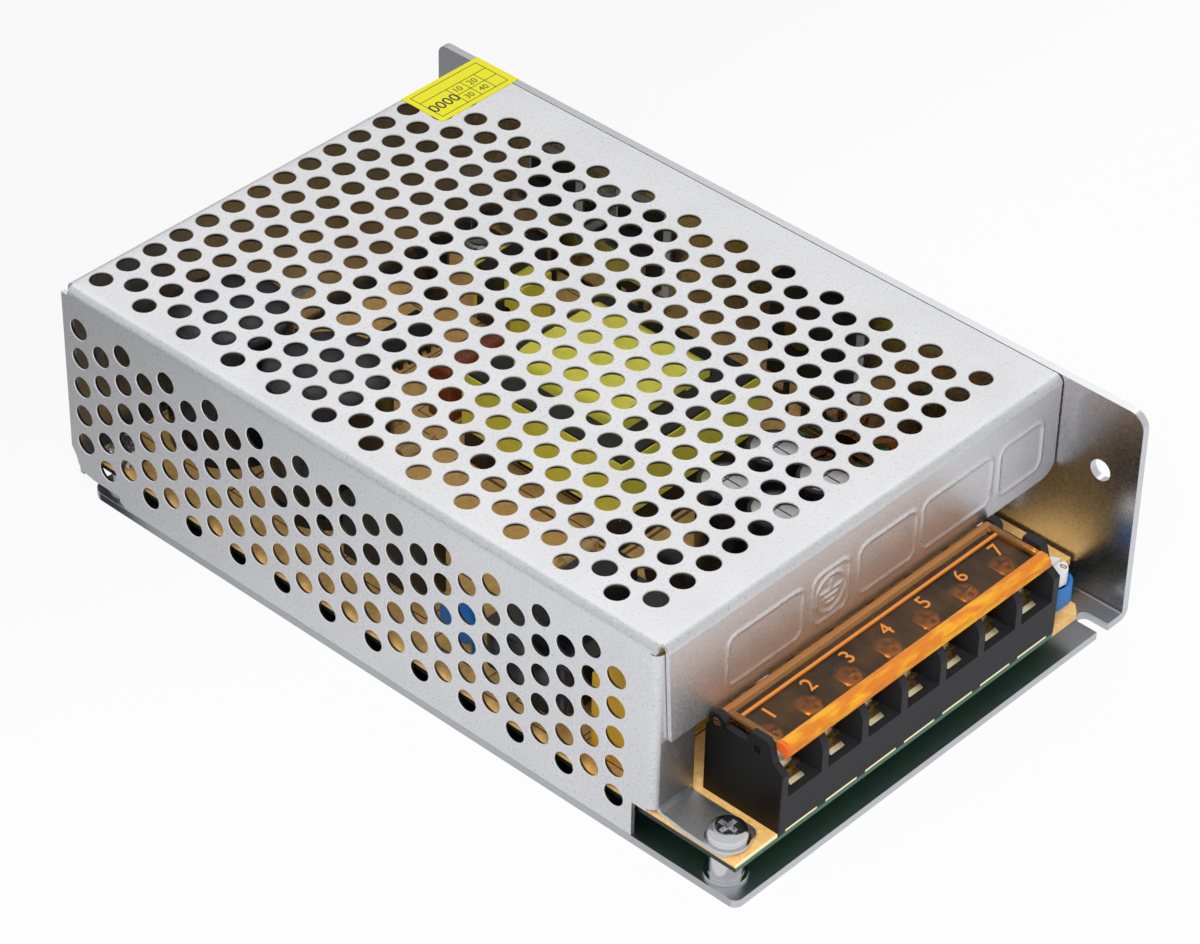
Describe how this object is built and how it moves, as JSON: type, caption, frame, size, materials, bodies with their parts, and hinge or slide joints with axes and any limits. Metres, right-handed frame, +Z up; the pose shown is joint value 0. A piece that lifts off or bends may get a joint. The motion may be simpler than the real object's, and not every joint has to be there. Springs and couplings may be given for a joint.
{
  "type": "switching power supply",
  "caption": "Enclosed switching power supply: folded chassis, perforated folded cover, circuit board with parts, and a screw terminal under a hinged clear lid.",
  "frame": {"origin": "middle of the whole case, on the underside of the base plate", "axes": "+X towards the chassis wall, +Y towards the rear, away from the terminal, +Z up through the perforated top"},
  "size_m": [0.098, 0.159, 0.0421],
  "materials": {
    "chassis_sheet": "satin folded sheet",
    "cover_sheet": "satin folded sheet, perforated",
    "board": "laminate",
    "plated_steel": "plated",
    "bright_screw": "bright plated",
    "black_housing": "moulded, fine grain",
    "gold_contact": "bright strip",
    "amber_lid": "clear amber moulding",
    "blue_plastic": "moulded",
    "white_plastic": "moulded",
    "yellow_label": "printed label",
    "fuse_glass": "clear tube",
    "black_part": "moulded",
    "yellow_part": "moulded box",
    "black_ferrite": "sintered",
    "copper_wire": "varnished copper",
    "black_sleeve": "shrunk sleeve",
    "yellow_tape": "wrapped film tape",
    "green_core": "coated ring",
    "brown_part": "dipped film",
    "grey_pad": "soft pad",
    "resistor_body": "coated body"
  },
  "bodies": {
    "case": {"chassis": "chassis_sheet", "cover": "cover_sheet", "circuit_board": "board", "standoffs": "plated_steel", "board_screws": "bright_screw", "screw_washers": "bright_screw", "cover_screws": "bright_screw", "terminal_block": "black_housing", "terminal_contacts": "gold_contact", "trimmer_body": "blue_plastic", "date_sticker": "yellow_label", "fuse_tube": "fuse_glass", "fuse_caps": "plated_steel", "thermistor": "black_part", "x_capacitor": "yellow_part", "line_choke_core": "black_ferrite", "line_choke_windings": "black_part", "blue_capacitor": "blue_plastic", "bridge_rectifier": "black_part", "bulk_capacitor_front": "black_sleeve", "bulk_capacitor_rear": "black_sleeve", "transformer_core": "black_ferrite", "transformer_winding": "yellow_tape", "transformer_bobbin": "black_part", "transformer_tape": "yellow_tape", "output_choke_core": "green_core", "output_choke_winding": "copper_wire", "film_capacitor": "brown_part", "driver_core": "black_ferrite", "driver_winding": "yellow_tape", "control_chip": "black_part", "small_capacitor_1": "black_sleeve", "small_capacitor_2": "black_sleeve", "switch_transistor_1": "black_part", "switch_transistor_2": "black_part", "output_rectifier": "black_part", "insulating_pads": "grey_pad", "clamp_bar": "plated_steel", "heatsink_screws": "plated_steel", "resistors": "resistor_body", "output_capacitor_1": "black_sleeve", "output_capacitor_2": "black_sleeve", "output_capacitor_3": "black_sleeve", "output_capacitor_4": "black_sleeve"},
    "lid": {"terminal_lid": "amber_lid"},
    "trimmer_turn_piece": {"trimmer_rotor": "white_plastic"},
    "clamp_1": {"terminal_clamp_1": "gold_contact"},
    "screw_1": {"terminal_screw_1": "plated_steel"},
    "clamp_2": {"terminal_clamp_2": "gold_contact"},
    "screw_2": {"terminal_screw_2": "plated_steel"},
    "clamp_3": {"terminal_clamp_3": "gold_contact"},
    "screw_3": {"terminal_screw_3": "plated_steel"},
    "clamp_4": {"terminal_clamp_4": "gold_contact"},
    "screw_4": {"terminal_screw_4": "plated_steel"},
    "clamp_5": {"terminal_clamp_5": "gold_contact"},
    "screw_5": {"terminal_screw_5": "plated_steel"},
    "clamp_6": {"terminal_clamp_6": "gold_contact"},
    "screw_6": {"terminal_screw_6": "plated_steel"},
    "clamp_7": {"terminal_clamp_7": "gold_contact"},
    "screw_7": {"terminal_screw_7": "plated_steel"}
  },
  "joints": [
    {"name": "lid_hinge", "type": "hinge", "parent": "case", "child": "lid", "pos_m": [0, -0.0647, 0.0224], "axis": [-1, 0, 0], "range_deg": [0, 90]},
    {"name": "trimmer_turn", "type": "hinge", "parent": "case", "child": "trimmer_turn_piece", "pos_m": [0.0358, -0.0726, 0.0125], "axis": [0, 0, 1], "range_deg": [-135, 135]},
    {"name": "clamp_slide_1", "type": "slide", "parent": "case", "child": "clamp_1", "axis": [0, 0, 1], "range_m": [-0.00055, 0.0019]},
    {"name": "screw_turn_1", "type": "hinge", "parent": "clamp_1", "child": "screw_1", "pos_m": [-0.03245, -0.071, 0.0178], "axis": [0, 0, 1], "range_deg": [-330, 1140]},
    {"name": "clamp_slide_2", "type": "slide", "parent": "case", "child": "clamp_2", "axis": [0, 0, 1], "range_m": [-0.00055, 0.0019]},
    {"name": "screw_turn_2", "type": "hinge", "parent": "clamp_2", "child": "screw_2", "pos_m": [-0.02295, -0.071, 0.0178], "axis": [0, 0, 1], "range_deg": [-330, 1140]},
    {"name": "clamp_slide_3", "type": "slide", "parent": "case", "child": "clamp_3", "axis": [0, 0, 1], "range_m": [-0.00055, 0.0019]},
    {"name": "screw_turn_3", "type": "hinge", "parent": "clamp_3", "child": "screw_3", "pos_m": [-0.01345, -0.071, 0.0178], "axis": [0, 0, 1], "range_deg": [-330, 1140]},
    {"name": "clamp_slide_4", "type": "slide", "parent": "case", "child": "clamp_4", "axis": [0, 0, 1], "range_m": [-0.00055, 0.0019]},
    {"name": "screw_turn_4", "type": "hinge", "parent": "clamp_4", "child": "screw_4", "pos_m": [-0.00395, -0.071, 0.0178], "axis": [0, 0, 1], "range_deg": [-330, 1140]},
    {"name": "clamp_slide_5", "type": "slide", "parent": "case", "child": "clamp_5", "axis": [0, 0, 1], "range_m": [-0.00055, 0.0019]},
    {"name": "screw_turn_5", "type": "hinge", "parent": "clamp_5", "child": "screw_5", "pos_m": [0.00555, -0.071, 0.0178], "axis": [0, 0, 1], "range_deg": [-330, 1140]},
    {"name": "clamp_slide_6", "type": "slide", "parent": "case", "child": "clamp_6", "axis": [0, 0, 1], "range_m": [-0.00055, 0.0019]},
    {"name": "screw_turn_6", "type": "hinge", "parent": "clamp_6", "child": "screw_6", "pos_m": [0.01505, -0.071, 0.0178], "axis": [0, 0, 1], "range_deg": [-330, 1140]},
    {"name": "clamp_slide_7", "type": "slide", "parent": "case", "child": "clamp_7", "axis": [0, 0, 1], "range_m": [-0.00055, 0.0019]},
    {"name": "screw_turn_7", "type": "hinge", "parent": "clamp_7", "child": "screw_7", "pos_m": [0.02455, -0.071, 0.0178], "axis": [0, 0, 1], "range_deg": [-330, 1140]}
  ],
  "couplings": [
    {"joint": "screw_turn_1", "follows": "clamp_slide_1", "rad_per_m": 10472},
    {"joint": "screw_turn_2", "follows": "clamp_slide_2", "rad_per_m": 10472},
    {"joint": "screw_turn_3", "follows": "clamp_slide_3", "rad_per_m": 10472},
    {"joint": "screw_turn_4", "follows": "clamp_slide_4", "rad_per_m": 10472},
    {"joint": "screw_turn_5", "follows": "clamp_slide_5", "rad_per_m": 10472},
    {"joint": "screw_turn_6", "follows": "clamp_slide_6", "rad_per_m": 10472},
    {"joint": "screw_turn_7", "follows": "clamp_slide_7", "rad_per_m": 10472}
  ]
}
